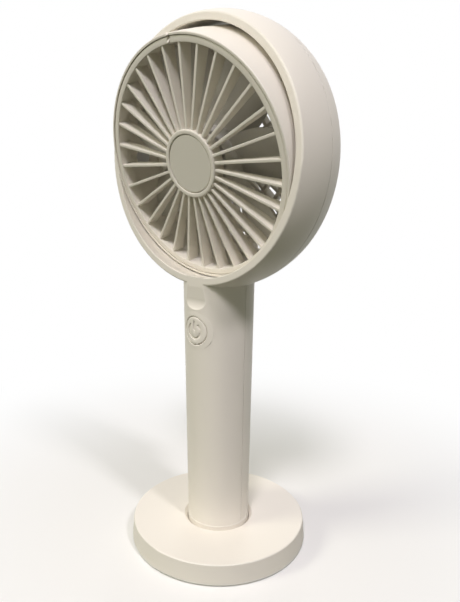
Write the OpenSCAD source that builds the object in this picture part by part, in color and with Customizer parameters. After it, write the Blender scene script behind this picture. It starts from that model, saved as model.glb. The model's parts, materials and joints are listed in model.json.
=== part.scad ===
// Rechargeable table fan: a hand fan with a tilting pod, standing in a round base.
// Millimetres. The table is z = 0, the fan faces -Y and the base stands round the Z axis.

/* [Base] */
// Radius of the base at its lower edge
base_radius = 39.3; // [37:0.1:48]
// Height of the base above the table
base_height = 9.6; // [9:0.1:14]
// How far the side of the base leans in towards the top
base_lean = 0.8; // [0.2:0.1:2.4]
// Radius of the rounded upper edge of the base
base_edge = 0.5; // [0.3:0.1:1.5]
// Width of the sloped lead-in round the socket
socket_lead = 1.3; // [0.8:0.1:2]

/* [Handle] */
// Radius of the handle where it enters the base
handle_low_radius = 13.6; // [13.6:0.1:15]
// Radius of the handle under the head
handle_top_radius = 14.85; // [14.5:0.05:16]
// How far the foot of the handle stands out from its side
collar_step = 0.2; // [0.2:0.1:0.6]
// Wall thickness of the handle shells
wall = 2; // [1.6:0.1:2.2]
// Radius of the power button
button_radius = 5.8; // [4.6:0.05:6]
// Distance of the button centre below the ring
button_drop = 16.8; // [16:0.1:20]
// Travel of the power button
button_travel = 0.5; // [0.3:0.1:0.7]

/* [Head] */
// Height of the fan axis above the table
head_height = 168.3; // [166:0.1:200]
// Largest outer radius of the ring
ring_radius = 52.7; // [50:0.1:58]
// Wall thickness of the ring at its middle
ring_wall = 4; // [3.8:0.1:5]
// Depth of the ring from front to rear
ring_depth = 23.3; // [22:0.1:25]
// Radius of the crowned outer side of the ring, seen in section
ring_crown = 29; // [26:0.5:60]
// How far the pod axis lies in front of the handle axis
pivot_forward = 2.6; // [2.4:0.1:3.2]

/* [Pod] */
// Depth of the pod from front rim to rear rim
pod_depth = 27.3; // [26:0.1:29]
// Gap between the rims of the pod and the inside of the ring
pod_gap = 0.53; // [0.5:0.01:0.9]
// How far the side of the pod bulges between its rims
pod_bulge = 0.4; // [0.2:0.1:0.8]
// Tilt of the pod, top forward, as it stands
pod_tilt = 13.2; // [-30:0.1:30]
// Number of fins in the front grille
fin_count = 30; // [18:1:36]
// Thickness of a fin
fin_thickness = 1.1; // [0.8:0.1:1.4]
// Depth of a fin at the rim
fin_rim_depth = 6; // [3:0.1:6.4]
// Depth of a fin at the hub
fin_hub_depth = 2.4; // [2:0.1:4]
// Radius of the hub ring in the middle of the grille
hub_radius = 13; // [12.6:0.1:16]
// Radius of the badge disc
badge_radius = 10.95; // [9:0.05:11.2]

/* [Fan] */
// Number of blades on the impeller
blade_count = 7; // [5:1:7]
// Angle of the blades to the plane of the fan
blade_pitch = 25; // [20:1:30]
// Gap between the blade tips and the pod
tip_gap = 1.4; // [1.2:0.1:2.5]

/* [Hidden] */

$fn = 96;
tiny = 0.01;
far = 60;

cream = [0.93, 0.9, 0.86];
cream_inner = [0.86, 0.82, 0.77];
badge_grey = [0.72, 0.7, 0.64];
rubber = [0.2, 0.2, 0.2];
steel = [0.66, 0.67, 0.69];
nickel = [0.76, 0.75, 0.7];
brass = [0.72, 0.6, 0.34];
copper = [0.72, 0.42, 0.24];
board_green = [0.1, 0.35, 0.22];
dark = [0.15, 0.15, 0.16];
cell_blue = [0.2, 0.36, 0.58];
lead_red = [0.7, 0.16, 0.13];
magnet_grey = [0.28, 0.27, 0.27];

// Base stack, from the table upwards
foot_height = 0.8;
foot_radius = 4;
foot_recess = 0.4;
plate_low = foot_height - foot_recess;
plate_flange = 0.8;
plate_thick = 1.8;
socket_floor = plate_low + plate_thick;
side_low = plate_low + plate_flange;
base_top_radius = base_radius - base_lean;
base_wall = 2;
plate_fit = 0.1;
socket_gap = 0.35;
socket_tube = 1.6;
foot_circle = base_radius - 9;
base_screw_circle = (base_radius - base_wall + handle_low_radius) / 2 + 3;
base_screw_radius = 1.1;
base_screw_head = 2.2;
base_screw_head_height = 1;
base_screw_length = 4.4;
base_boss = 2.8;
weight_gap = 0.5;
weight_fit = 0.5;
plate_edge = 0.5;
screw_hole_gap = 0.2;
screw_head_gap = 0.3;
screw_sink = 0.1;
screw_turns = [60:120:300];
foot_turns = [45:90:315];
weight_low = socket_floor;
weight_high = base_height - base_wall;

// Handle
neck_z = head_height - ring_radius;
handle_low_z = socket_floor;
handle_slope = (handle_top_radius - handle_low_radius) / (neck_z - base_height);
handle_foot_radius = handle_low_radius - handle_slope * (base_height - handle_low_z);
handle_end_round = 1;
handle_end_z = neck_z + 8;
handle_end_radius = handle_top_radius + handle_slope * (handle_end_z - neck_z);
handle_floor = 2;
cavity_low_z = handle_low_z + handle_floor;
cavity_high_z = neck_z - 1.5;
collar_rise = 0.85;
collar_edge = 0.18;
collar_radius = handle_low_radius + collar_step;
socket_radius = collar_radius + socket_gap;
shoulder_rise = 3;
shoulder_over = 0.4;
shoulder_lap = 1.5;

// Ring and pod, measured from the pod axis
pivot_y = -pivot_forward;
ring_half = ring_depth / 2;
socket_sphere = ring_radius - ring_wall;
crown_centre = ring_radius - ring_crown;
pod_half = pod_depth / 2;
pod_reach = socket_sphere - pod_gap;
pod_rim_radius = sqrt(pow(pod_reach, 2) - pow(pod_half, 2));
pod_mid = pod_rim_radius + pod_bulge;
pod_crown = (pow(pod_half, 2) + pow(pod_bulge, 2)) / (2 * pod_bulge);
pod_crown_centre = pod_mid - pod_crown;
lip_y = pivot_y - ring_half;
lip_inner_round = 0.3;
lip_outer_round = 0.8;
rear_outer_round = 1.8;
seam_y = 0;
seam_half = 0.12;
seam_deep = 0.2;

// Neck recess
neck_flat = 4.4;
neck_sink = 0.5;
neck_y = lip_y + neck_sink;
neck_top = neck_z + 1.5;
ledge_z = neck_z - neck_flat;
ledge_drop = 3.5;
ledge_depth = handle_radius(ledge_z - ledge_drop) + neck_y;
ledge_round = (pow(ledge_drop, 2) + pow(ledge_depth, 2)) / (2 * ledge_depth);

// Button and electronics
button_z = neck_z - button_drop;
button_gap = 0.3;
button_proud = 0.15;
button_tube = 1.3;
button_tube_depth = 4.4;
button_tube_end = button_tube_depth - handle_low_radius;
flange_gap = 0.1;
flange_thick = 1;
flange_extra = 0.9;
flange_room = 0.6;
stem_radius = 2;
board_front = 2;
board_thick = 1.2;
board_width = 21;
board_below = 5.4;
board_above = 14;
board_low = button_z - board_below;
board_high = button_z + board_above;
board_rear = board_front + board_thick;
rib_x = 8.4;
rib_thick = 1.4;
rib_inset = 1;
switch_side = 6;
switch_height = 3.5;
switch_front = board_front - switch_height;
plunger_radius = 1.75;
plunger_gap = 0.06;
plunger_reach = 2.2;
plunger_rest = 0.2;
plunger_tip = switch_front - plunger_reach;
plunger_well = 1.4;
port_z = button_z;
port_width = 8.94;
port_height = 3.26;
port_shell = 0.35;
port_hole_gap = 0.12;
port_tongue = 0.7;
port_tongue_width = 6.6;
port_recess = 0.3;
port_back = 1.2;
port_tongue_recess = 1;
port_mouth = sqrt(pow(handle_radius(port_z), 2) - pow(port_width / 2, 2)) - port_recess;

// Battery
cell_radius = 9.15;
cell_lift = 9;
cell_headroom = 15.2;
cell_low = cavity_low_z + cell_lift;
cell_high = board_low - cell_headroom;
cell_length = cell_high - cell_low;
cell_gap = 0.15;
cell_rib = 1.6;
cell_rib_inset = 6;
cell_stop = 2.4;
tab_thick = 0.3;
tab_width = 6;
lead_radius = 0.55;
upper_lead_x = 5.2;
lower_lead_gap = 0.75;
lower_lead_x = cell_radius + lower_lead_gap;
lead_y = board_front - lead_radius;
lead_notch = 1;
lead_solder = 2.5;

// Shell screws
shell_screw_lift = 3;
shell_screw_over = 3.2;
shell_screw_low = cavity_low_z + shell_screw_lift;
shell_screw_high = cell_high + tab_thick + shell_screw_over;
shell_screw_radius = 1.1;
shell_screw_head = 2.1;
shell_screw_head_height = 1.5;
shell_screw_seat = 8.2;
shell_screw_length = 13;
shell_boss = 2.9;
screw_hole_end = 0.5;

// Pivot
pin_radius = 2.5;
pin_run = 0.05;
pin_fit = 0.03;
pin_bore = 1.6;
pin_head_radius = 3.6;
pin_head_thick = 1.1;
pin_head_sink = 1.3;
pin_head_gap = 0.1;
pivot_flat_depth = 0.2;
pivot_flat = pod_mid - pivot_flat_depth;
spot_sink = 0.14;
spot_face = socket_sphere - spot_sink;
washer_radius = 4.3;
washer_gap = 0.02;
washer_thick = spot_face - washer_gap - pivot_flat;
spot_radius = 4.7;
pin_grip = 1.4;
pin_end = spot_face + pin_grip;
pin_end_gap = 0.25;
channel_wall = 0.1;
channel_width = 1.5;
channel_room = 0.2;
channel_low = pin_end + channel_wall;
channel_high = channel_low + channel_width;
channel_front = 1;
channel_side = 2;
channel_lap = 3;
lead_ring_radius = (channel_low + channel_high) / 2;
lead_bend = 1.6;
lead_board_drop = 3;
lead_board_z = board_high - lead_board_drop;
stop_orbit = 6.4;
stop_radius = 0.9;
stop_grip = 1;
stop_end = spot_face + stop_grip;
stop_gap = 0.3;
tilt_limit = 30;

// Pod interior
rim_edge = 1;
rim_round = 0.45;
rim_seat_gap = 0.12;
rim_groove = 0.35;
rim_seat = pod_rim_radius - rim_edge;
rim_band = 2.5;
rim_inner = rim_seat - rim_band;
rim_drop = 0.25;
rim_step_depth = 2.2;
rim_depth = 5.4;
rim_band_edge = 0.3;
rim_shelf = 1.05;
barrel_inner = rim_seat - rim_shelf;
grille_front = pod_half - rim_drop;
grille_step = grille_front - rim_step_depth;
grille_back = grille_front - rim_depth;
fin_rim_drop = 0.25;
fin_hub_drop = 0.5;
fin_root = 0.6;
fin_end = 0.4;
fin_rim_front = grille_front - fin_rim_drop;
hub_proud = 1.1;
hub_depth = 5.2;
hub_edge = 0.6;
hub_front = pod_half + hub_proud;
fin_hub_front = hub_front - fin_hub_drop;
hub_back = hub_front - hub_depth;
grille_turn = 1.2;
badge_drop = 0.25;
badge_thick = 1.1;
badge_gap = 0.3;
badge_edge = 0.3;
badge_back = hub_front - badge_drop - badge_thick;
pin_seat = barrel_inner + pin_head_sink;
hub_cup_wall = 1.3;
mark_angle = 90;
mark_width = 0.9;
mark_depth = 1.2;

// Motor and impeller, along the pod axis, front positive
blade_tip = barrel_inner - tip_gap;
impeller_hub = 13.3;
impeller_gap = 1.3;
impeller_front = hub_back - impeller_gap;
impeller_back = -7.4;
impeller_skin = 1.3;
yoke_outer = impeller_hub - impeller_skin;
yoke_thick = 0.8;
magnet_outer = yoke_outer - yoke_thick;
magnet_thick = 1.3;
air_gap = 0.35;
stator_outer = magnet_outer - magnet_thick - air_gap;
stator_low = -6;
stator_high = 0.8;
tube_outer = 4;
tube_inner = 3;
tube_top = 2.2;
tube_fit = 0.05;
shaft_radius = 1.5;
shaft_run = 0.02;
shaft_low = -11.4;
bush_length = 4;
rear_hub = 15;
rear_hub_thick = 2;
rear_hub_proud = 0.4;
rear_back = -pod_half - rear_hub_proud;
rear_hub_floor = rear_back + rear_hub_thick;
rear_fin_drop = 0.6;
rear_cup_wall = 1.2;
rear_cup_gap = 0.8;
rear_fin_back = rear_fin_drop - grille_front;
rear_fin_depth = 2.8;
rear_rim_depth = 6.4;
rear_rings = [22, 28.5, 34, 38.5];
rear_rise = (rear_rim_depth - rear_fin_depth) / (rim_inner - rear_hub);
rear_ring_drop = 0.5;
rear_ring_width = 1.6;
drive_board_thick = 0.8;
drive_board_low = rear_fin_back + rear_fin_depth - drive_board_thick;
drive_board_radius = 11.4;
stator_poles = 4;
core_yoke = 1.6;
pole_half = 1.2;
shoe_thick = 1.4;
shoe_half_angle = 34;
coil_half = 2.6;
coil_over = 1.1;
coil_gap = 0.1;
coil_inner = tube_outer + core_yoke + coil_gap;
coil_outer = sqrt(pow(stator_outer - shoe_thick, 2) - pow(coil_half, 2)) - coil_gap;
magnet_below = 0.8;
magnet_above = 1.4;
yoke_above = 1.8;
yoke_below = 0.6;
blade_thick = 1.3;
blade_camber = 40;
blade_rise = 1.2;
blade_chord = 25;
blade_low = -5.6;
blade_high = 5.4;
blade_edge = 40;
blade_half_width = 10.5;
blade_middle = 28;
boss_radius = 3.4;
boss_room = 3;
hub_lip = 1.2;
shaft_cap = 0.6;
bush_room = 0.5;
groove_half = 1.3;
groove_depth = 1.5;
pod_bend = 1.2;
pod_lead_inset = 0.8;
pod_lead_wall = barrel_inner + pod_lead_inset;
pod_lead_rear = rear_fin_back + rear_fin_depth + lead_radius;
pod_lead_end = 10.4;
lead_meet_gap = 0.3;
lead_notch_half = 0.8;
lead_notch_deep = 0.4;

// Cuts a rounded corner at point b between the sides towards a and c
module corner_cut(a, b, c, r) {
    u = (a - b) / norm(a - b);
    v = (c - b) / norm(c - b);
    half = acos(u * v) / 2;
    out = (u + v) / norm(u + v);
    centre = b + out * (r / sin(half));
    difference() {
        polygon([centre, b + u * (r / tan(half)), b - out * r, b + v * (r / tan(half))]);
        translate(centre) circle(r);
    }
}

// Cuts a rounded corner that lies between given touch points of a circle
module arc_cut(centre, touch_a, outside, touch_b, r) {
    difference() {
        polygon([centre, touch_a, outside, touch_b]);
        translate(centre) circle(r);
    }
}

// Turns a shape drawn on the pod axis into the head: +Z becomes forward
module at_head() {
    translate([0, pivot_y, head_height]) rotate([90, 0, 0]) children();
}

// The pod as it stands, tilted about the pivot
module at_pod() {
    translate([0, pivot_y, head_height]) rotate([90 + pod_tilt, 0, 0]) children();
}

// A round bar along Y from y0 to y1
module bar_y(r, y0, y1, x, z) {
    translate([x, y1, z]) rotate([90, 0, 0]) cylinder(h = y1 - y0, r = r);
}

// A round bar along X from x0 to x1
module bar_x(r, x0, x1) {
    translate([x0, 0, 0]) rotate([0, 90, 0]) cylinder(h = x1 - x0, r = r);
}

// A box from its low corner to its high corner
module span(low, high) {
    translate(low) cube(high - low);
}

// A ring along Z
module tube(outer, inner, low, high) {
    difference() {
        translate([0, 0, low]) cylinder(h = high - low, r = outer);
        translate([0, 0, low - 1]) cylinder(h = high - low + 2, r = inner);
    }
}

function handle_radius(z) = handle_low_radius + handle_slope * (z - base_height);

// Base
module base_shell() {
    side_bottom = [base_radius - base_lean * (side_low / base_height), side_low];
    side_top = [base_top_radius, base_height];
    color(cream) difference() {
        union() {
            difference() {
                rotate_extrude() difference() {
                    polygon([[0, side_low], side_bottom, side_top, [0, base_height]]);
                    corner_cut(side_bottom, side_top, [0, base_height], base_edge);
                }
                tube(side_bottom[0] - base_wall, socket_radius + socket_tube,
                    side_low - 1, base_height - base_wall);
            }
            for (a = screw_turns) rotate(a) translate([base_screw_circle, 0, socket_floor])
                cylinder(h = base_height - base_wall / 2 - socket_floor, r = base_boss);
        }
        translate([0, 0, -1]) cylinder(h = base_height + 2, r = socket_radius);
        translate([0, 0, base_height - socket_lead])
            cylinder(h = socket_lead + tiny, r1 = socket_radius, r2 = socket_radius + socket_lead + tiny);
        translate([0, 0, side_low - 1])
            cylinder(h = socket_floor - side_low + 1, r = socket_radius + socket_tube + 1);
        for (a = screw_turns) rotate(a) translate([base_screw_circle, 0, 0])
            cylinder(h = plate_low + base_screw_head_height + base_screw_length + screw_head_gap,
                r = base_screw_radius);
    }
}

module base_plate() {
    flange = base_radius - base_lean * (side_low / base_height);
    inner = flange - base_wall - plate_fit;
    color(cream_inner) difference() {
        rotate_extrude() difference() {
            polygon([[0, plate_low], [flange, plate_low], [flange, side_low], [inner, side_low],
                [inner, socket_floor], [0, socket_floor]]);
            corner_cut([0, plate_low], [flange, plate_low], [flange, side_low], plate_edge);
        }
        for (a = foot_turns) rotate(a) translate([foot_circle, 0, plate_low - 1])
            cylinder(h = 1 + foot_recess, r = foot_radius + plate_fit);
        for (a = screw_turns) rotate(a) translate([base_screw_circle, 0, plate_low - 1]) {
            cylinder(h = plate_thick + 2, r = base_screw_radius + screw_hole_gap);
            cylinder(h = 1 + base_screw_head_height, r = base_screw_head + screw_head_gap);
        }
    }
}

module base_feet() {
    color(rubber) for (a = foot_turns) rotate(a) translate([foot_circle, 0, 0])
        cylinder(h = foot_height, r = foot_radius);
}

module base_weight() {
    outer = base_top_radius - base_wall - weight_gap - weight_fit;
    inner = socket_radius + socket_tube + weight_gap;
    color(steel) difference() {
        tube(outer, inner, weight_low, weight_high);
        for (a = screw_turns) rotate(a) translate([base_screw_circle, 0, weight_low - 1])
            cylinder(h = far, r = base_boss + weight_gap);
    }
}

module base_screws() {
    head_z = plate_low + base_screw_head_height;
    color(steel) for (a = screw_turns) rotate(a) translate([base_screw_circle, 0, 0]) {
        translate([0, 0, plate_low + screw_sink])
            cylinder(h = base_screw_head_height - screw_sink, r = base_screw_head);
        translate([0, 0, head_z]) cylinder(h = base_screw_length, r = base_screw_radius);
    }
}

// Section of the ring, radius by distance in front of the pod axis
module ring_section() {
    front_inner = [sqrt(pow(socket_sphere + lip_inner_round, 2) - pow(ring_half - lip_inner_round, 2)),
        ring_half - lip_inner_round];
    inner_touch = front_inner * (socket_sphere / (socket_sphere + lip_inner_round));
    lip_radius = sqrt(pow(socket_sphere, 2) - pow(ring_half, 2));
    front_outer = [crown_at(lip_outer_round), ring_half - lip_outer_round];
    outer_way = (front_outer - [crown_centre, 0]) / (ring_crown - lip_outer_round);
    outer_touch = [crown_centre, 0] + outer_way * ring_crown;
    rear_outer = [crown_at(rear_outer_round), rear_outer_round - ring_half];
    rear_way = (rear_outer - [crown_centre, 0]) / (ring_crown - rear_outer_round);
    rear_touch = [crown_centre, 0] + rear_way * ring_crown;
    difference() {
        intersection() {
            translate([crown_centre, 0]) circle(ring_crown, $fn = 192);
            translate([lip_radius - 3, -ring_half]) square([far, ring_depth]);
        }
        circle(socket_sphere, $fn = 192);
        for (s = [0, 1]) mirror([0, s])
            arc_cut(front_inner, [front_inner[0], ring_half], [lip_radius - 1, ring_half + 0.5],
                inner_touch, lip_inner_round);
        arc_cut(front_outer, [front_outer[0], ring_half],
            [front_outer[0] + 3 * lip_outer_round, ring_half + lip_outer_round],
            outer_touch, lip_outer_round);
        arc_cut(rear_outer, [rear_outer[0], -ring_half],
            [rear_outer[0] + 3 * rear_outer_round, -ring_half - rear_outer_round],
            rear_touch, rear_outer_round);
    }
}

// Where the centre of a rounded outer edge lies, for an edge of radius r
function crown_at(r) = crown_centre + sqrt(pow(ring_crown - r, 2) - pow(ring_half - r, 2));

// Handle and ring as one outer form, before it is split and hollowed
module outer_form() {
    at_head() rotate_extrude($fn = 192) ring_section();
    difference() {
        union() {
            handle_solid(0);
            handle_collar();
        }
        at_head() sphere(socket_sphere, $fn = 192);
        translate([-far, 0, 0]) rotate([90, 0, 90]) linear_extrude(2 * far) {
            neck_section();
            shoulder_section();
        }
        translate([0, neck_y - ledge_round, ledge_z]) bar_x(ledge_round, -far, far);
    }
}

// What is taken off the front of the neck, leaning back from the lip down to the ledge
module neck_section() {
    polygon([[lip_y - far, ledge_z], [neck_y, ledge_z], [lip_y, neck_top], [lip_y, neck_z + far],
        [lip_y - far, neck_z + far]]);
}

// What is taken off above the rear shoulder of the handle
module shoulder_section() {
    rear = pivot_y + ring_half;
    top = neck_z + shoulder_rise;
    reach = handle_end_radius - rear + shoulder_over;
    difference() {
        translate([rear, top - reach]) square([far, far]);
        translate([rear - shoulder_lap, top - reach]) square([shoulder_lap, far]);
        translate([rear, top - reach]) circle(reach);
    }
}

// The handle cone, grown or shrunk by the given amount
module handle_solid(grow) {
    low = [handle_foot_radius + grow, handle_low_z - grow];
    high = [handle_end_radius + grow, handle_end_z];
    rotate_extrude() difference() {
        polygon([[0, low[1]], low, high, [0, high[1]]]);
        corner_cut([0, low[1]], low, high, handle_end_round);
    }
}

// Slightly wider foot of the handle that stands in the socket
module handle_collar() {
    low = [collar_radius, handle_low_z];
    high = [collar_radius, base_height + collar_rise];
    rotate_extrude() difference() {
        polygon([[0, low[1]], low, high, [0, high[1]]]);
        corner_cut([0, low[1]], low, high, handle_end_round);
        corner_cut(low, high, [0, high[1]], collar_edge);
    }
}

module handle_cavity() {
    low = handle_radius(cavity_low_z) - wall;
    high = handle_radius(cavity_high_z) - wall;
    translate([0, 0, cavity_low_z]) cylinder(h = cavity_high_z - cavity_low_z, r1 = low, r2 = high);
}

// Ribs that hold the battery, drawn through both halves
module inner_ribs() {
    intersection() {
        handle_solid(-wall / 2);
        union() {
            for (z = [cell_low + cell_rib_inset, (cell_low + cell_high) / 2, cell_high - cell_rib_inset])
                tube(far, cell_radius + cell_gap, z - cell_rib / 2, z + cell_rib / 2);
            for (z = [cell_low - tab_thick - cell_rib, cell_high + tab_thick])
                tube(far, cell_radius - cell_stop, z, z + cell_rib);
        }
    }
}

// Upright ribs that clamp the board from one side
module board_ribs(y0, y1) {
    intersection() {
        handle_solid(-wall / 2);
        for (s = [-1, 1])
            span([s * rib_x - rib_thick / 2, y0, board_low + rib_inset],
                [s * rib_x + rib_thick / 2, y1, board_high - rib_inset]);
    }
}

module shell_bosses() {
    intersection() {
        handle_solid(-wall / 2);
        for (z = [shell_screw_low, shell_screw_high]) bar_y(shell_boss, -far, far, 0, z);
    }
}

// Cuts shared by both halves
module shell_cuts() {
    for (z = [shell_screw_low, shell_screw_high]) {
        bar_y(shell_screw_radius, shell_screw_seat - shell_screw_length - screw_hole_end,
            shell_screw_seat, 0, z);
        bar_y(shell_screw_radius + screw_hole_gap, seam_y, shell_screw_seat, 0, z);
        bar_y(shell_screw_head + screw_head_gap, shell_screw_seat, far, 0, z);
    }
    span([-lead_bend - lead_notch, pivot_y - channel_front, cavity_high_z - channel_lap],
        [channel_side, seam_y, head_height - channel_low]);
    span([-lower_lead_x - lead_notch, seam_y, cell_low - tab_thick],
        [-cell_radius, lead_y + lead_notch, board_low + rib_inset]);
    at_head() intersection() {
        tube(channel_high, channel_low, -pivot_forward, channel_front);
        span([-channel_side, -far, -far], [far, lead_radius + channel_room, far]);
    }
    translate([0, pivot_y, head_height]) {
        for (s = [0, 180]) rotate([0, s, 0]) {
            bar_x(spot_radius, socket_sphere - 2, spot_face);
            bar_x(pin_radius + pin_run, socket_sphere - 2, pin_end + pin_end_gap);
        }
        stop_slot();
    }
}

// Curved slot that the stop peg of the pod runs in
module stop_slot() {
    reach = stop_radius + stop_gap;
    difference() {
        bar_x(stop_orbit + reach, socket_sphere - 2, stop_end + stop_gap);
        bar_x(stop_orbit - reach, socket_sphere - 3, far);
        for (s = [-1, 1]) rotate([s * tilt_limit, 0, 0]) translate([0, -far, s > 0 ? -far - reach : reach])
            span([0, 0, 0], [far, 2 * far, far]);
        span([0, 0, -far], [far, far, far]);
    }
}

// Fine groove along the join of the two halves, outside only
module seam_groove() {
    difference() {
        span([-far, seam_y - seam_half, base_height + collar_rise + 1], [far, seam_y + seam_half, far + head_height]);
        handle_solid(-seam_deep);
        at_head() rotate_extrude($fn = 192) intersection() {
            translate([crown_centre, 0]) circle(ring_crown - seam_deep, $fn = 192);
            translate([0, -far]) square([far, 2 * far]);
        }
    }
}

module button_guide() {
    intersection() {
        handle_solid(0);
        bar_y(button_radius + button_gap + button_tube, -far, button_tube_end, 0, button_z);
    }
}

module front_shell() {
    color(cream) difference() {
        union() {
            intersection() {
                union() {
                    hollow_form();
                    inner_ribs();
                    shell_bosses();
                    button_guide();
                }
                span([-far, -far, 0], [far, seam_y, head_height + far]);
            }
            board_ribs(-far, board_front);
        }
        shell_cuts();
        seam_groove();
        bar_y(button_radius + button_gap, -far, button_tube_end + tiny, 0, button_z);
        bar_y(button_radius + flange_extra + flange_room, button_tube_end, board_front + 1, 0, button_z);
    }
}

// Handle and ring with the room inside the handle taken out
module hollow_form() {
    difference() {
        outer_form();
        handle_cavity();
    }
}

module rear_shell() {
    color(cream) difference() {
        intersection() {
            union() {
                hollow_form();
                inner_ribs();
                shell_bosses();
                board_ribs(board_rear, far);
            }
            span([-far, seam_y, 0], [far, far, head_height + far]);
        }
        shell_cuts();
        seam_groove();
        translate([0, board_rear, port_z]) rotate([-90, 0, 0]) linear_extrude(far)
            slot(port_width + 2 * port_hole_gap, port_height + 2 * port_hole_gap);
    }
}

module shell_screws() {
    color(steel) for (z = [shell_screw_low, shell_screw_high]) {
        bar_y(shell_screw_radius, shell_screw_seat - shell_screw_length, shell_screw_seat, 0, z);
        bar_y(shell_screw_head, shell_screw_seat, shell_screw_seat + shell_screw_head_height, 0, z);
    }
}

// A flat slot shape with round ends
module slot(width, height) {
    square([width - height, height], center = true);
    for (s = [-1, 1]) translate([s * (width - height) / 2, 0]) circle(height / 2);
}

// Power button
module power_button() {
    flange_front = button_tube_end + flange_gap;
    color(cream) {
        intersection() {
            handle_solid(button_proud);
            bar_y(button_radius, -far, flange_front, 0, button_z);
        }
        bar_y(button_radius + flange_extra, flange_front, flange_front + flange_thick, 0, button_z);
        bar_y(stem_radius, flange_front, plunger_tip, 0, button_z);
    }
}

module switch_plunger() {
    inner_end = switch_front + plunger_well - button_travel - plunger_rest;
    color(dark) bar_y(plunger_radius, plunger_tip, inner_end, 0, button_z);
}

module push_switch() {
    half = switch_side / 2;
    color(dark) difference() {
        span([-half, switch_front, button_z - half], [half, board_front, button_z + half]);
        bar_y(plunger_radius + plunger_gap, switch_front - 1, switch_front + plunger_well, 0, button_z);
    }
}

module control_board() {
    half = board_width / 2;
    color(board_green) span([-half, board_front, board_low], [half, board_rear, board_high]);
}

module charging_port() {
    color(steel) translate([0, board_rear, port_z]) rotate([-90, 0, 0]) {
        linear_extrude(port_mouth - board_rear) difference() {
            slot(port_width, port_height);
            slot(port_width - 2 * port_shell, port_height - 2 * port_shell);
        }
        linear_extrude(port_back) slot(port_width - port_shell, port_height - port_shell);
        linear_extrude(port_mouth - board_rear - port_tongue_recess)
            square([port_tongue_width, port_tongue], center = true);
    }
}

// Battery
module battery_cell() {
    color(cell_blue) translate([0, 0, cell_low]) cylinder(h = cell_length, r = cell_radius);
}

module battery_tabs() {
    half = tab_width / 2;
    color(nickel) {
        span([-half, -half, cell_high], [upper_lead_x + lead_radius, half, cell_high + tab_thick]);
        span([-lower_lead_x - lead_radius, lead_y - lead_radius, cell_low - tab_thick],
            [half, half, cell_low]);
    }
}

module battery_leads() {
    top = board_low + lead_solder;
    color(lead_red) {
        translate([upper_lead_x, lead_y, cell_high + tab_thick])
            cylinder(h = top - cell_high - tab_thick, r = lead_radius);
        translate([-lower_lead_x, lead_y, cell_low]) cylinder(h = top - cell_low, r = lead_radius);
    }
}

module ring_lead() {
    rise = head_height - lead_ring_radius - lead_bend;
    color(lead_red) {
        bar_y(lead_radius, pivot_y + lead_bend, board_front, -lead_bend, lead_board_z);
        translate([-lead_bend, pivot_y + lead_bend, lead_board_z + lead_bend]) rotate([90, 0, 90]) rotate(180)
            bend(lead_bend);
        translate([-lead_bend, pivot_y, lead_board_z + lead_bend])
            cylinder(h = rise - lead_board_z - lead_bend, r = lead_radius);
        translate([0, pivot_y, rise]) rotate([90, 0, 0]) rotate(90) bend(lead_bend);
        at_head() rotate(-90) rotate_extrude(angle = 90 - asin(lead_bend / lead_ring_radius))
            translate([lead_ring_radius, 0]) circle(lead_radius);
        at_head() translate([lead_ring_radius - lead_bend, -lead_bend, 0]) bend(lead_bend);
    }
}

// A quarter turn of lead about the origin, from +X to +Y
module bend(r) {
    rotate_extrude(angle = 90) translate([r, 0]) circle(lead_radius);
}

// Pivot
module pin_shape(bore) {
    difference() {
        union() {
            bar_x(pin_radius, pin_seat, pin_end);
            bar_x(pin_head_radius, pin_seat - pin_head_thick, pin_seat);
        }
        if (bore > 0) bar_x(bore, 0, far);
    }
}

module pivot_pin() {
    color(steel) at_pod() rotate([0, 180, 0]) pin_shape(0);
}

module lead_pin() {
    color(steel) at_pod() difference() {
        pin_shape(pin_bore);
        span([0, -lead_notch_half, -far], [pin_seat + lead_notch_deep, lead_notch_half, 0]);
    }
}

module friction_washers() {
    color(rubber) at_pod() for (s = [0, 180]) rotate([0, s, 0]) difference() {
        bar_x(washer_radius, pivot_flat, pivot_flat + washer_thick);
        bar_x(pin_radius + pin_fit, pivot_flat - 1, far);
    }
}

// Pod
module pod_barrel() {
    color(cream) at_pod() difference() {
        union() {
            rotate_extrude($fn = 192) barrel_section();
            translate([0, 0, stop_orbit]) bar_x(stop_radius, barrel_inner + 1, stop_end);
        }
        for (s = [0, 180]) rotate([0, s, 0]) {
            bar_x(spot_radius, pivot_flat, far);
            bar_x(pin_radius + pin_fit, 0, far);
            bar_x(pin_head_radius + pin_head_gap, 0, pin_seat);
        }
        span([0, -groove_half, pod_lead_rear - pod_bend], [barrel_inner + groove_depth, groove_half, 0]);
        rim_mark();
    }
}

// Notch across the rim of the pod and of its front grille
module rim_mark() {
    rotate(grille_turn + mark_angle)
        span([rim_inner - 1, -mark_width / 2, grille_front - mark_depth], [far, mark_width / 2, far]);
}

// Section of the pod wall, radius by distance in front of the pivot
module barrel_section() {
    middle = [pod_crown_centre, 0];
    reach = sqrt(pow(pod_crown - rim_round, 2) - pow(pod_half - rim_round, 2));
    centre = middle + [reach, pod_half - rim_round];
    touch = middle + (centre - middle) * (pod_crown / (pod_crown - rim_round));
    difference() {
        intersection() {
            translate(middle) circle(pod_crown, $fn = 1440);
            translate([0, -pod_half]) square([far, pod_depth]);
        }
        translate([0, -far]) square([barrel_inner, 2 * far]);
        translate([0, grille_step]) square([rim_seat, far]);
        translate([0, -grille_step - far]) square([rim_seat, far]);
        for (s = [0, 1]) mirror([0, s])
            arc_cut(centre, [centre[0], pod_half], [pod_rim_radius + rim_round, pod_half + rim_round],
                touch, rim_round);
    }
}

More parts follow.
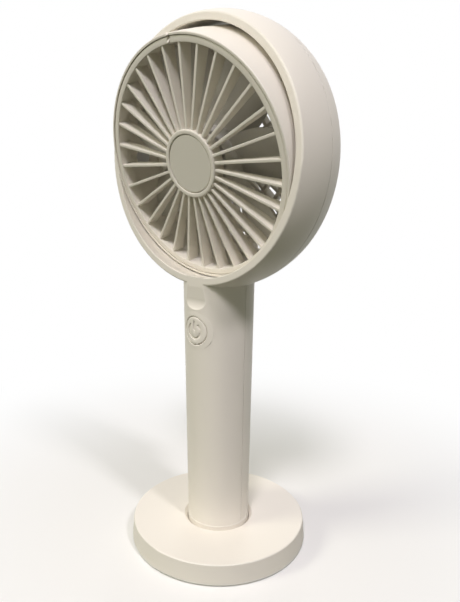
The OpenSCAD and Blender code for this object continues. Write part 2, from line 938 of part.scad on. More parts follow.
// Rim of a grille, a band that drops into the step of the pod wall
module grille_frame() {
    band = rim_seat - rim_groove;
    sleeve = barrel_inner - rim_seat_gap;
    rotate_extrude($fn = 192) difference() {
        polygon([[rim_inner, grille_back], [sleeve, grille_back], [sleeve, grille_step], [band, grille_step],
            [band, grille_front], [rim_inner, grille_front]]);
        corner_cut([rim_inner, grille_back], [rim_inner, grille_front], [band, grille_front], rim_band_edge);
        corner_cut([rim_inner, grille_front], [band, grille_front], [band, grille_step], rim_band_edge);
    }
}

// A disc on the pod axis with a rounded front edge
module edged_disc(r, low, high, edge) {
    rotate_extrude() difference() {
        polygon([[0, low], [r, low], [r, high], [0, high]]);
        corner_cut([r, low], [r, high], [0, high], edge);
    }
}

module fin(inner, outer, front_in, front_out, back_in, back_out, thick) {
    rotate([90, 0, 0]) translate([0, 0, -thick / 2]) linear_extrude(thick)
        polygon([[inner, back_in], [outer, back_out], [outer, front_out], [inner, front_in]]);
}

module front_grille() {
    color(cream) at_pod() difference() {
        union() {
            grille_frame();
            edged_disc(hub_radius, hub_back, hub_front, hub_edge);
            for (i = [0:fin_count - 1]) rotate(grille_turn + i * 360 / fin_count)
                fin(hub_radius - fin_root, rim_inner + fin_end, fin_hub_front, fin_rim_front,
                    fin_hub_front - fin_hub_depth, fin_rim_front - fin_rim_depth, fin_thickness);
        }
        translate([0, 0, badge_back]) cylinder(h = far, r = badge_radius + badge_gap);
        translate([0, 0, hub_back - 1])
            cylinder(h = badge_back - hub_cup_wall - hub_back + 1, r = hub_radius - hub_cup_wall);
        rim_mark();
    }
}

module hub_badge() {
    color(badge_grey) at_pod() edged_disc(badge_radius, badge_back, badge_back + badge_thick, badge_edge);
}

module rear_grille() {
    fin_front = rear_fin_back + rear_fin_depth;
    color(cream) at_pod() difference() {
        union() {
            mirror([0, 0, 1]) {
                grille_frame();
                edged_disc(rear_hub, -rear_hub_floor, -rear_back, hub_edge);
            }
            tube(rear_hub, rear_hub - rear_cup_wall, rear_hub_floor - tiny, impeller_back - rear_cup_gap);
            for (r = rear_rings)
                tube(r, r - rear_ring_width, rear_fin_back,
                    fin_front + rear_rise * (r - rear_hub) - rear_ring_drop);
            translate([0, 0, rear_hub_floor - tiny])
                cylinder(h = tube_top - rear_hub_floor + tiny, r = tube_outer);
            for (i = [0:fin_count - 1]) rotate(i * 360 / fin_count)
                fin(rear_hub - fin_root, rim_inner + fin_end, fin_front, rear_fin_back + rear_rim_depth,
                    rear_fin_back, rear_fin_back, fin_thickness);
        }
        translate([0, 0, rear_hub_floor]) cylinder(h = far, r = tube_inner);
        span([drive_board_radius, -lead_notch_half, pod_lead_rear - lead_radius], [far, lead_notch_half, 0]);
    }
}

module pod_lead() {
    meet = lead_ring_radius - lead_bend - lead_meet_gap;
    color(lead_red) at_pod() {
        bar_x(lead_radius, pod_lead_wall + pod_bend, meet);
        translate([pod_lead_wall + pod_bend, 0, -pod_bend]) rotate([90, 0, 0]) rotate(90) bend(pod_bend);
        translate([pod_lead_wall, 0, pod_lead_rear + pod_bend])
            cylinder(h = -2 * pod_bend - pod_lead_rear, r = lead_radius);
        translate([pod_lead_wall - pod_bend, 0, pod_lead_rear + pod_bend]) rotate([90, 0, 0]) rotate(-90)
            bend(pod_bend);
        translate([0, 0, pod_lead_rear]) bar_x(lead_radius, pod_lead_end, pod_lead_wall - pod_bend);
    }
}

module driver_board() {
    color(board_green) at_pod()
        tube(drive_board_radius, tube_outer + tube_fit, drive_board_low, drive_board_low + drive_board_thick);
}

module stator_core() {
    shoe_reach = far * tan(shoe_half_angle);
    color(steel) at_pod() translate([0, 0, stator_low]) linear_extrude(stator_high - stator_low) {
        difference() {
            union() {
                circle(tube_outer + core_yoke);
                for (i = [0:stator_poles - 1]) rotate(i * 360 / stator_poles) {
                    translate([0, -pole_half]) square([stator_outer - shoe_thick / 2, 2 * pole_half]);
                    intersection() {
                        difference() {
                            circle(stator_outer);
                            circle(stator_outer - shoe_thick);
                        }
                        polygon([[0, 0], [far, shoe_reach], [far, -shoe_reach]]);
                    }
                }
            }
            circle(tube_outer + tube_fit);
        }
    }
}

module stator_coils() {
    color(copper) at_pod() for (i = [0:stator_poles - 1]) rotate(i * 360 / stator_poles) difference() {
        span([coil_inner, -coil_half, stator_low - coil_over],
            [coil_outer, coil_half, stator_high + coil_over]);
        span([coil_inner - 1, -pole_half, stator_low], [coil_outer + 1, pole_half, stator_high]);
    }
}

module motor_bushes() {
    color(brass) at_pod() {
        tube(tube_inner, shaft_radius + shaft_run, rear_hub_floor, rear_hub_floor + bush_length);
        tube(tube_inner, shaft_radius + shaft_run, tube_top - bush_length, tube_top);
    }
}

module motor_shaft() {
    color(steel) at_pod() translate([0, 0, shaft_low])
        cylinder(h = impeller_front - shaft_cap - shaft_low, r = shaft_radius);
}

module magnet_ring() {
    color(magnet_grey) at_pod()
        tube(magnet_outer, magnet_outer - magnet_thick,
            stator_low - magnet_below, stator_high + magnet_above);
}

module motor_yoke() {
    color(steel) at_pod()
        tube(yoke_outer, magnet_outer, impeller_back + yoke_below, stator_high + yoke_above);
}

// One blade, a cambered plate set across the radius, with its leading and trailing edge as arcs
module blade() {
    edge_offset = blade_edge - blade_half_width;
    intersection() {
        rotate([90, 0, 90]) linear_extrude(blade_tip) rotate(blade_pitch)
            translate([0, blade_rise - blade_camber]) intersection() {
                difference() {
                    circle(blade_camber);
                    circle(blade_camber - blade_thick);
                }
                translate([-blade_chord / 2, 0]) square([blade_chord, far]);
            }
        translate([0, 0, blade_low]) linear_extrude(blade_high - blade_low) intersection() {
            circle(blade_tip);
            translate([blade_middle, -edge_offset]) circle(blade_edge);
            translate([blade_middle, edge_offset]) circle(blade_edge);
        }
    }
}

module impeller() {
    color(cream_inner) at_pod() difference() {
        union() {
            translate([0, 0, impeller_back]) cylinder(h = impeller_front - impeller_back, r = impeller_hub);
            for (i = [0:blade_count - 1]) rotate(i * 360 / blade_count) blade();
        }
        translate([0, 0, impeller_back - 1])
            cylinder(h = stator_high + yoke_above - impeller_back + 1, r = yoke_outer);
        tube(yoke_outer - hub_lip, boss_radius, 0, impeller_front - impeller_skin);
        translate([0, 0, -far]) cylinder(h = far + tube_top + bush_room, r = boss_radius + boss_room);
        translate([0, 0, -far]) cylinder(h = far + impeller_front - shaft_cap, r = shaft_radius);
    }
}

base_shell();
base_plate();
base_feet();
base_weight();
base_screws();
front_shell();
rear_shell();
shell_screws();
power_button();
switch_plunger();
push_switch();
control_board();
charging_port();
battery_cell();
battery_tabs();
battery_leads();
ring_lead();
pivot_pin();
lead_pin();
friction_washers();
pod_barrel();
front_grille();
hub_badge();
rear_grille();
pod_lead();
driver_board();
stator_core();
stator_coils();
motor_bushes();
motor_shaft();
magnet_ring();
motor_yoke();
impeller();
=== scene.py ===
"""Looks of the rechargeable table fan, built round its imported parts. Metres, in the frame of the parts."""
import json
import math

import bmesh
import bpy
from mathutils import Matrix, Vector


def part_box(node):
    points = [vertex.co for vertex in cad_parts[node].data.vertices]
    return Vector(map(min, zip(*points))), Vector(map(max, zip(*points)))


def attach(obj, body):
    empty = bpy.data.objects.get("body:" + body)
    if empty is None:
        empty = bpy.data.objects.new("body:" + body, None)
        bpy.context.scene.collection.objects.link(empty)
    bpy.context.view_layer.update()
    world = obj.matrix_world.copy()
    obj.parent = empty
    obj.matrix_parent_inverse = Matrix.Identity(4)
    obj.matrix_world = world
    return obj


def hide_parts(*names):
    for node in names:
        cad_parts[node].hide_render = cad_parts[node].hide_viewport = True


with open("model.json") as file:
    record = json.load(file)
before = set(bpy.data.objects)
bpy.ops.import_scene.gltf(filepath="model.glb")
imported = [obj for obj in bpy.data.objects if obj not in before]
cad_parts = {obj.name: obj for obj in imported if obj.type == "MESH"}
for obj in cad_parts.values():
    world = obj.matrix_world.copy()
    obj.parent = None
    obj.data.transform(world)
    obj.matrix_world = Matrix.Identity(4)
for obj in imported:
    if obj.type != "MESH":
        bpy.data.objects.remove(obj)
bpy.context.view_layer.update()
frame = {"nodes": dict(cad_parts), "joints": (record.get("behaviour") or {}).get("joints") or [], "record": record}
nodes = frame["nodes"]

MM = 0.001

# The photograph's frame, in pixels, and the lens that fits it
photo_height = 602
photo_width = 460
focal_pixels = 594.06
axis_x = 209.93
axis_y = 308.65
sensor = 36.0
camera_place = Vector((167.46, -178.93, 164.07)) * MM
camera_yaw = math.radians(44.0)
camera_pitch = math.radians(13.43)
nearest_seen = 0.01
furthest_seen = 20

# Softboxes: way from the fan to the lamp, distance, width, power and colour
softboxes = {
    "front softbox": ((-0.42, -0.7, 0.58), 2.5, 0.75, 21.0, (1.0, 0.99, 0.8)),
    "top softbox": ((0.3, -0.5, 0.81), 2.5, 0.5, 31.0, (1.0, 0.95, 1.0)),
    "side softbox": ((0.62, -0.09, 0.78), 2.5, 0.25, 16.5, (1.0, 0.95, 0.99)),
    "rear softbox": ((-0.55, 0.83, 0.1), 2.5, 0.8, 13.0, (1.0, 0.98, 0.95)),
}
lamp_aim = Vector((0, 0, 0.12))

# Room light near the floor's edge and overhead
room_low = 0.14
room_high = 0.25
room_low_colour = (0.96, 1.0, 0.7, 1)
room_high_colour = (1.0, 0.95, 0.9, 1)

# Floor: as it lights the fan near the base and further off, as it is seen,
# and the distances from the middle over which it changes
floor_size = 12
floor_roughness = 0.9
floor_near = (0.29, 0.3, 0.24, 1)
floor_bounce = (0.085, 0.09, 0.055, 1)
floor_seen = (0.9, 0.9, 0.895, 1)
bounce_fade = (0.045, 0.1)
white_fade = (0.04, 0.24)

# Finishes: grain and drift of moulded plastic, edges paled as rubbed wear and as a painted highlight, wound wire
# and circuit boards
grain_detail = 2.0
grain_strength = 0.35
drift_scale = 32
drift_detail = 3.0
drift_gloss = 0.1
edge_samples = 6
rub_and_highlight_gain = 4.0
wire_waver = 0.4
line_strength = 0.6
run_length = 0.0045
run_spacing = 0.0016
run_softness = 0.2

# Where the pod stands: its middle, and the frame in which local Z points forward
pod_joint = next(j for j in frame["joints"] if j["name"] == "pod_tilt")
spin_joint = next(j for j in frame["joints"] if j["name"] == "fan_spin")
forward = Vector(spin_joint["axis"]).normalized()
if forward.y > 0:
    forward = -forward
side = Vector((1, 0, 0))
pod_turn = Matrix((side, forward.cross(side), forward)).transposed().to_4x4()
pod_place = Matrix.Translation(pod_joint["pos_m"]) @ pod_turn

# Working by hand, in millimetres: what counts as the same place, as facing a way and as a sharp edge
same_place = 0.01
merge_distance = 0.0005
facing = 0.9
sharp = 1
smooth_angle = math.radians(35)
turn_steps = 180

# Handle cone, in millimetres
cone_low_z = 9.6
cone_low_radius = 13.6
cone_high_z = 115.6
cone_high_radius = 14.85
cone_slope = (cone_high_radius - cone_low_radius) / (cone_high_z - cone_low_z)

# Power button and its sign, in millimetres
button_low, button_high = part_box("power_button")
button_z = (button_low.z + button_high.z) / 2 / MM
button_steps = 120
button_radius = 5.8
button_proud = 0.15
button_edge = 0.45
flange_front = -9.1
flange_thick = 1.0
flange_radius = 6.7
stem_radius = 2.0
stem_length = 4.4
cap_depth = 5.6
cap_cuts = 13
sign_radius = 3.2
sign_line = 0.85
sign_gap = math.radians(36)
sign_sink = 0.36
sign_edge = 0.13
sign_margin = 0.5
bar_low = 0.2
bar_high = 4.0

# Low ring round the button's hole, in millimetres
hole_radius = 6.1
bezel_inner = hole_radius - 0.05
bezel_outer = 8.4
bezel_proud = 0.15
bezel_flat = 0.4
bezel_round = 0.26
bezel_back = -0.9
bezel_outer_front = -0.02
bezel_outer_back = -0.4

# Front grille, in millimetres on the pod axis
rim_steps = 240
rim_inner = 42.7
rim_outer = 44.85
rim_sleeve = 44.03
rim_seat = 45.08
rim_front = 13.4
rim_step = 11.2
rim_back = 8.0
rim_round = 0.35
groove_floor = 13.1
hub_radius = 13.0
hub_front = 14.75
hub_back = 9.55
hub_round = 0.55
hub_recess = 11.25
recess_floor = 13.4
recess_round = 0.25
cup_radius = 11.7
cup_floor = 12.1
fin_count = 30
fin_turn = math.radians(1.2)
fin_thick = 1.1
fin_inner = 12.4
fin_outer = 43.1
fin_front = (14.25, 13.15)
fin_back = (11.85, 7.15)
fin_round = 0.15
fin_back_round = 0.2

# Notch at the top of the rim, and the start, end and front of each raised mark in it
notch_turn = Matrix.Rotation(fin_turn + math.pi / 2, 4, "Z")
notch_width = 0.9
notch_floor = 12.2
notch_inner = rim_inner - 1
notch_outer = rim_seat + 2
notch_front = rim_front + 2
mark_spans = ((42.95, 44.75, 14.4), (45.3, 46.0, 14.4))
mark_slope = 1.0
mark_room = 0.05
mark_root = 0.4
mark_round = 0.06
mark_angle = 25

# Rear grille, in millimetres on the pod axis
rear_hub_radius = 15.0
rear_hub_back = -14.05
rear_hub_floor = -12.05
rear_cup_top = -8.2
rear_cup_inner = 13.8
tube_outer = 4.0
tube_inner = 3.0
tube_top = 2.2
rear_fin_back = -12.8
rear_fin_inner = 14.4
rear_fin_depths = [10.0, 6.4]
rear_ring_width = 1.6
ring_round = 0.34
rear_rings = [(22, -9.59), (28.5, -8.75), (34, -8.03), (38.5, -7.45)]

# Screws, in millimetres: head radius and height, shank radius and length, and the head's rounding
screw_steps = 48
shell_screw = (2.1, 1.5, 1.1, 13, 0.5)
shell_screw_seat = 8.2
shell_screw_heights = (7.2, 81.7)
base_screw = (2.2, 0.9, 1.1, 4.4, 0.3)
base_screw_circle = 28.45
base_screw_seat = 1.4
base_screw_turns = (60, 180, 300)
tip_taper = 0.3
tip_length = 0.4
cross_reach = 0.62
cross_half = 0.3
cross_floor = 0.35

# Bottom plate, in millimetres
plate_low = 0.4
plate_radius = 39.2
plate_round = 0.5
plate_lean = 0.2
plate_reach = 0.05

# Feet, in millimetres: the outline of one, from its top over its edge to the middle of its sole
foot_steps = 64
foot_circle = 30.3
foot_turns = (45, 135, 225, 315)
foot_outline = [(0, 0.8), (4, 0.8), (4, 0.32), (3.9, 0.12), (3.7, 0), (2.7, 0), (2.5, 0.16), (1.6, 0.16),
                (1.4, 0), (0, 0)]

# Charging port, in millimetres
port_width = 8.94
port_height = 3.26
port_wall = 0.35
port_back = 3.2
port_floor = 4.4
port_mouth = 13.65
mouth_round = 0.1
tongue_width = 6.6
tongue_thick = 0.7
tongue_recess = 1.0
tongue_root = 0.6
tongue_round = 0.12
contact_count = 8
contact_pitch = 0.72
contact_half = 0.14
contact_proud = 0.03
contact_span = (4.4, 0.5)
contact_round = 0.025


# Steps in node trees
def feed(tree, value, socket):
    """Feeds a socket from another one, or sets it to a plain value."""
    if isinstance(value, bpy.types.NodeSocket):
        tree.links.new(value, socket)
    else:
        socket.default_value = value


def math_node(tree, operation, *values, clamp=False):
    """A Math node whose inputs are sockets or plain numbers."""
    node = tree.nodes.new("ShaderNodeMath")
    node.operation = operation
    node.use_clamp = clamp
    for socket, value in zip(node.inputs, values):
        feed(tree, value, socket)
    return node.outputs["Value"]


def mix_colours(tree, factor, first, second):
    """A Mix node between two colours, each a socket or a plain colour."""
    node = tree.nodes.new("ShaderNodeMix")
    node.data_type = "RGBA"
    for name, value in (("Factor", factor), ("A", first), ("B", second)):
        feed(tree, value, node.inputs[name])
    return node.outputs["Result"]


def mix_shaders(tree, factor, first, second):
    node = tree.nodes.new("ShaderNodeMixShader")
    for socket, value in zip(node.inputs, (factor, first, second)):
        tree.links.new(value, socket)
    return node.outputs["Shader"]


def ramp(tree, value, start, end, kind="SMOOTHSTEP", low=0.0, high=1.0):
    """A Map Range node that climbs from low to high as a value goes from start to end."""
    node = tree.nodes.new("ShaderNodeMapRange")
    node.interpolation_type = kind
    for name, number in (("From Min", start), ("From Max", end), ("To Min", low), ("To Max", high)):
        node.inputs[name].default_value = number
    tree.links.new(value, node.inputs["Value"])
    return node.outputs["Result"]


def noise(tree, place, scale, detail):
    node = tree.nodes.new("ShaderNodeTexNoise")
    node.inputs["Detail"].default_value = detail
    tree.links.new(place, node.inputs["Vector"])
    feed(tree, scale, node.inputs["Scale"])
    return node.outputs["Fac"]


def bump_node(tree, height, strength, depth, under):
    """A Bump node over the normal that lies under it."""
    node = tree.nodes.new("ShaderNodeBump")
    node.inputs["Strength"].default_value = strength
    node.inputs["Distance"].default_value = depth
    tree.links.new(height, node.inputs["Height"])
    tree.links.new(under, node.inputs["Normal"])
    return node.outputs["Normal"]


def object_place(tree):
    return tree.nodes.new("ShaderNodeTexCoord").outputs["Object"]


def split(tree, vector):
    """X, Y and Z of a vector."""
    node = tree.nodes.new("ShaderNodeSeparateXYZ")
    tree.links.new(vector, node.inputs["Vector"])
    return node.outputs


# Camera, light and floor
def make_camera():
    data = bpy.data.cameras.new("photo_camera")
    data.sensor_width = sensor
    data.lens = focal_pixels * sensor / photo_height
    data.shift_x = (photo_width / 2 - axis_x) / photo_height
    data.shift_y = (axis_y - photo_height / 2) / photo_height
    data.clip_start = nearest_seen
    data.clip_end = furthest_seen
    camera = bpy.data.objects.new("photo_camera", data)
    camera.location = camera_place
    camera.rotation_euler = (math.pi / 2 - camera_pitch, 0, camera_yaw)
    bpy.context.scene.collection.objects.link(camera)
    bpy.context.scene.camera = camera


def make_lamp(name, way, distance, width, power, colour):
    """A square softbox that looks at the middle of the fan."""
    data = bpy.data.lights.new(name, "AREA")
    data.shape = "SQUARE"
    data.size = width
    data.energy = power
    data.color = colour
    lamp = bpy.data.objects.new(name, data)
    lamp.location = lamp_aim + Vector(way).normalized() * distance
    lamp.rotation_euler = (lamp_aim - lamp.location).to_track_quat("-Z", "Y").to_euler()
    bpy.context.scene.collection.objects.link(lamp)


def seen_rays(tree):
    """1 for rays that the camera sees straight, in a mirror or through glass."""
    path = tree.nodes.new("ShaderNodeLightPath")
    straight = math_node(tree, "MAXIMUM", path.outputs["Is Camera Ray"], path.outputs["Is Glossy Ray"])
    return math_node(tree, "MAXIMUM", straight, path.outputs["Is Transmission Ray"])


def make_world():
    """Soft room light, and plain white where the camera, a mirror or glass sees past the floor."""
    world = bpy.data.worlds.new("studio")
    bpy.context.scene.world = world
    world.use_nodes = True
    tree = world.node_tree
    tree.nodes.clear()
    height = split(tree, tree.nodes.new("ShaderNodeTexCoord").outputs["Generated"])["Z"]
    tint = mix_colours(tree, height, room_low_colour, room_high_colour)
    room = tree.nodes.new("ShaderNodeBackground")
    tree.links.new(tint, room.inputs["Color"])
    tree.links.new(ramp(tree, height, 0, 1, "LINEAR", room_low, room_high), room.inputs["Strength"])
    white = tree.nodes.new("ShaderNodeBackground")
    white.inputs["Color"].default_value = (1, 1, 1, 1)
    white.inputs["Strength"].default_value = 1.0
    both = mix_shaders(tree, seen_rays(tree), room.outputs["Background"], white.outputs["Background"])
    tree.links.new(both, tree.nodes.new("ShaderNodeOutputWorld").inputs["Surface"])


def make_floor():
    """A pale floor that keeps the shadow near the object and fades to plain white further off."""
    clear_pick()
    bpy.ops.mesh.primitive_plane_add(size=floor_size, location=(0, 0, 0))
    floor = bpy.context.object
    floor.name = "floor"
    material = bpy.data.materials.new("pale floor")
    material.use_nodes = True
    tree = material.node_tree
    seen = seen_rays(tree)
    reach = tree.nodes.new("ShaderNodeVectorMath")
    reach.operation = "LENGTH"
    tree.links.new(object_place(tree), reach.inputs[0])
    distance = reach.outputs["Value"]
    bounce = mix_colours(tree, ramp(tree, distance, *bounce_fade), floor_near, floor_bounce)
    shader = tree.nodes["Principled BSDF"]
    shader.inputs["Roughness"].default_value = floor_roughness
    shader.inputs["Specular IOR Level"].default_value = 0.0
    tree.links.new(mix_colours(tree, seen, bounce, floor_seen), shader.inputs["Base Color"])
    white = tree.nodes.new("ShaderNodeEmission")
    white.inputs["Strength"].default_value = 1.0
    fade = math_node(tree, "MULTIPLY", ramp(tree, distance, *white_fade), seen)
    both = mix_shaders(tree, fade, shader.outputs["BSDF"], white.outputs["Emission"])
    tree.links.new(both, tree.nodes["Material Output"].inputs["Surface"])
    floor.data.materials.append(material)


# Shared effects
def start_group(name, inputs, outputs):
    """A shared effect with its named sockets, and its two ends."""
    group = bpy.data.node_groups.new(name, "ShaderNodeTree")
    for label, kind, value in inputs:
        socket = group.interface.new_socket(label, in_out="INPUT", socket_type="NodeSocket" + kind)
        socket.default_value = value
    for label, kind in outputs:
        group.interface.new_socket(label, in_out="OUTPUT", socket_type="NodeSocket" + kind)
    return group, group.nodes.new("NodeGroupInput"), group.nodes.new("NodeGroupOutput")


def make_grain_group():
    """Fine spark-eroded grain of moulded plastic, with slow drifts of tone and gloss."""
    group, entry, leave = start_group(
        "moulded grain",
        (("Colour", "Color", (0.8, 0.8, 0.8, 1)), ("Drift Colour", "Color", (0.7, 0.7, 0.7, 1)),
         ("Grain Size", "Float", 0.0003), ("Roughness", "Float", 0.45)),
        (("Colour", "Color"), ("Roughness", "Float"), ("Height", "Float")))
    place = object_place(group)
    grain_scale = math_node(group, "DIVIDE", 1.0, entry.outputs["Grain Size"])
    drift = noise(group, place, drift_scale, drift_detail)
    tone = mix_colours(group, drift, entry.outputs["Colour"], entry.outputs["Drift Colour"])
    gloss = math_node(group, "MULTIPLY_ADD", drift, drift_gloss, entry.outputs["Roughness"])
    group.links.new(tone, leave.inputs["Colour"])
    group.links.new(gloss, leave.inputs["Roughness"])
    group.links.new(noise(group, place, grain_scale, grain_detail), leave.inputs["Height"])
    return group


def make_edge_group():
    """Edges rounded to the eye, and a mask of the edges, where they are paled as rubbed wear and as a painted
    highlight.
    """
    group, entry, leave = start_group("soft edges", (("Radius", "Float", 0.00025),),
                                      (("Normal", "Vector"), ("Rub And Highlight", "Float")))
    rounded = group.nodes.new("ShaderNodeBevel")
    rounded.samples = edge_samples
    group.links.new(entry.outputs["Radius"], rounded.inputs["Radius"])
    flat = group.nodes.new("ShaderNodeNewGeometry")
    likeness = group.nodes.new("ShaderNodeVectorMath")
    likeness.operation = "DOT_PRODUCT"
    group.links.new(rounded.outputs["Normal"], likeness.inputs[0])
    group.links.new(flat.outputs["Normal"], likeness.inputs[1])
    turned_away = math_node(group, "SUBTRACT", 1.0, likeness.outputs["Value"])
    group.links.new(math_node(group, "MULTIPLY", turned_away, rub_and_highlight_gain, clamp=True), leave.inputs["Rub And Highlight"])
    group.links.new(rounded.outputs["Normal"], leave.inputs["Normal"])
    return group


def make_line_group():
    """Fine even lines up a piece, for wound wire: a mask that also serves as a height."""
    group, entry, leave = start_group("fine lines", (("Spacing", "Float", 0.0003),), (("Lines", "Float"),))
    wave = group.nodes.new("ShaderNodeTexWave")
    wave.bands_direction = "Z"
    wave.inputs["Distortion"].default_value = wire_waver
    group.links.new(object_place(group), wave.inputs["Vector"])
    wave_scale = math_node(group, "DIVIDE", math.pi / 10, entry.outputs["Spacing"])
    group.links.new(wave_scale, wave.inputs["Scale"])
    group.links.new(wave.outputs["Fac"], leave.inputs["Lines"])
    return group


def make_trace_group():
    """Copper runs of a circuit board under its lacquer, seen from the board's face: a mask."""
    group, entry, leave = start_group("board runs", (("Run Width", "Float", 0.0004),), (("Runs", "Float"),))
    parts = split(group, object_place(group))
    face = group.nodes.new("ShaderNodeCombineXYZ")
    group.links.new(parts["X"], face.inputs["X"])
    group.links.new(parts["Z"], face.inputs["Y"])
    brick = group.nodes.new("ShaderNodeTexBrick")
    brick.inputs["Scale"].default_value = 1.0
    brick.inputs["Brick Width"].default_value = run_length
    brick.inputs["Row Height"].default_value = run_spacing
    brick.inputs["Mortar Smooth"].default_value = run_softness
    group.links.new(face.outputs["Vector"], brick.inputs["Vector"])
    half_width = math_node(group, "MULTIPLY", entry.outputs["Run Width"], 0.5)
    group.links.new(half_width, brick.inputs["Mortar Size"])
    group.links.new(brick.outputs["Fac"], leave.inputs["Runs"])
    return group


grain_group = make_grain_group()
edge_group = make_edge_group()
line_group = make_line_group()
trace_group = make_trace_group()


# Finishes
def place_group(tree, group, **values):
    """Places a shared effect in a material with its own values."""
    node = tree.nodes.new("ShaderNodeGroup")
    node.node_tree = group
    for name, value in values.items():
        node.inputs[name.replace("_", " ")].default_value = value
    return node


def plain(colour):
    return (*colour, 1.0)


def moulded(name, colour, drift, roughness, grain=0.00035, depth=0.00001, edge=0.00025, rub_and_highlight=None):
    """Moulded plastic or rubber: grain, slow drift of tone, softened edges paled as rubbed wear and as a painted
    highlight.
    """
    material = bpy.data.materials.new(name)
    material.use_nodes = True
    tree = material.node_tree
    shader = tree.nodes["Principled BSDF"]
    skin = place_group(tree, grain_group, Colour=plain(colour), Drift_Colour=plain(drift),
                       Grain_Size=grain, Roughness=roughness)
    edges = place_group(tree, edge_group, Radius=edge)
    # Edges paled towards the rub colour: rubbed wear, and a painted highlight along every edge.
    tone = mix_colours(tree, edges.outputs["Rub And Highlight"], skin.outputs["Colour"], plain(rub_and_highlight or colour))
    normal = bump_node(tree, skin.outputs["Height"], grain_strength, depth, edges.outputs["Normal"])
    tree.links.new(tone, shader.inputs["Base Color"])
    tree.links.new(skin.outputs["Roughness"], shader.inputs["Roughness"])
    tree.links.new(normal, shader.inputs["Normal"])
    return material


def metal(name, colour, drift, roughness):
    material = moulded(name, colour, drift, roughness, grain=0.0008, depth=0.000005, edge=0.00015)
    material.node_tree.nodes["Principled BSDF"].inputs["Metallic"].default_value = 1.0
    return material


def lined(material, group, output, colour, depth, **values):
    """Lays the lines of a shared effect over a finish: their own colour, and a height under the grain."""
    tree = material.node_tree
    shader = tree.nodes["Principled BSDF"]
    lines = place_group(tree, group, **values).outputs[output]
    under = shader.inputs["Base Color"].links[0].from_socket
    tree.links.new(mix_colours(tree, lines, under, plain(colour)), shader.inputs["Base Color"])
    grain = shader.inputs["Normal"].links[0].from_node
    smooth = grain.inputs["Normal"].links[0].from_socket
    tree.links.new(bump_node(tree, lines, line_strength, depth, smooth), grain.inputs["Normal"])
    return material


# Each rub colour is paler than its plastic: rubbed wear on the edges, and a painted highlight.
cream = moulded("cream plastic", (0.87, 0.825, 0.75), (0.855, 0.81, 0.735), 0.4, rub_and_highlight=(0.9, 0.86, 0.8))
# Painted shade: the inner parts are coloured grey to stand for the shade deep inside the fan; their plastic is a
# cream like the rest.
inner_painted_shade = moulded("inner plastic painted shade", (0.66, 0.635, 0.6), (0.6, 0.58, 0.55), 0.4)
badge_finish = moulded("badge plastic", (0.78, 0.745, 0.67), (0.76, 0.725, 0.65), 0.42, rub_and_highlight=(0.86, 0.82, 0.76))
pale_plate = moulded("pale plate plastic", (0.94, 0.915, 0.87), (0.92, 0.895, 0.85), 0.35)
rubber = moulded("black rubber", (0.035, 0.035, 0.036), (0.05, 0.05, 0.05), 0.72, grain=0.0006)
black = moulded("black plastic", (0.03, 0.03, 0.033), (0.045, 0.045, 0.05), 0.4)
board = lined(moulded("circuit board", (0.02, 0.11, 0.06), (0.03, 0.16, 0.09), 0.35),
              trace_group, "Runs", (0.06, 0.26, 0.13), 0.00003, Run_Width=0.0004)
wrap = moulded("cell wrap", (0.05, 0.16, 0.34), (0.04, 0.13, 0.29), 0.25)
lead = moulded("lead cover", (0.5, 0.03, 0.025), (0.42, 0.03, 0.02), 0.45)
steel = metal("steel", (0.6, 0.6, 0.61), (0.52, 0.52, 0.54), 0.3)
nickel = metal("nickel", (0.66, 0.63, 0.57), (0.6, 0.57, 0.5), 0.25)
bronze = metal("sintered bronze", (0.55, 0.38, 0.2), (0.48, 0.32, 0.16), 0.5)
copper = lined(metal("enamelled copper", (0.42, 0.17, 0.07), (0.36, 0.14, 0.06), 0.3),
               line_group, "Lines", (0.78, 0.36, 0.17), 0.00012, Spacing=0.0003)
magnet = moulded("magnet", (0.07, 0.07, 0.072), (0.09, 0.09, 0.09), 0.55)

finishes = {
    "cream_plastic": cream,
    "inner_plastic": inner_painted_shade,
    "badge_plastic": badge_finish,
    "black_rubber": rubber,
    "steel": steel,
    "nickel": nickel,
    "sintered_bronze": bronze,
    "copper": copper,
    "board": board,
    "black_plastic": black,
    "cell_wrap": wrap,
    "lead_cover": lead,
    "magnet": magnet,
}


def give_finish(piece, material):
    piece.data.materials.clear()
    piece.data.materials.append(material)


for row in frame["record"]["subparts"]:
    give_finish(nodes[row["node"]], finishes[row["material_slot"]])


# Working a piece by hand, in millimetres
def clear_pick():
    """Object mode, with nothing picked."""
    if bpy.context.mode != "OBJECT":
        bpy.ops.object.mode_set(mode="OBJECT")
    bpy.ops.object.select_all(action="DESELECT")


def take(*pieces):
    """Picks these pieces alone; the first is the one that is worked on."""
    clear_pick()
    for piece in pieces:
        piece.select_set(True)
    bpy.context.view_layer.objects.active = pieces[0]


def open_piece(piece):
    take(piece)
    bpy.ops.object.mode_set(mode="EDIT")


def pick(piece, kind, test):
    """Picks the vertices, edges or faces of an open piece that pass a test."""
    bpy.ops.mesh.select_mode(type=kind)
    bpy.ops.mesh.select_all(action="DESELECT")
    shape = bmesh.from_edit_mesh(piece.data)
    for item in {"VERT": shape.verts, "EDGE": shape.edges, "FACE": shape.faces}[kind]:
        if test(item):
            item.select_set(True)
    shape.select_flush_mode()
    bmesh.update_edit_mesh(piece.data)


def faces_towards(piece, way, least=None):
    """Picks the faces that look a way, at or beyond a distance along it."""
    way = Vector(way)
    pick(piece, "FACE", lambda face: face.normal.dot(way) > facing
         and (least is None or face.calc_center_median().dot(way) > least - same_place))


def ring_edges(piece, radius, height):
    """Picks the edges of a turned piece that run round at a radius and height."""
    room = 2 * same_place
    pick(piece, "EDGE", lambda edge: all(
        abs(math.hypot(v.co.x, v.co.y) - radius) < room and abs(v.co.z - height) < room for v in edge.verts))


def extrude(way):
    bpy.ops.mesh.extrude_region_move(TRANSFORM_OT_translate={"value": way})


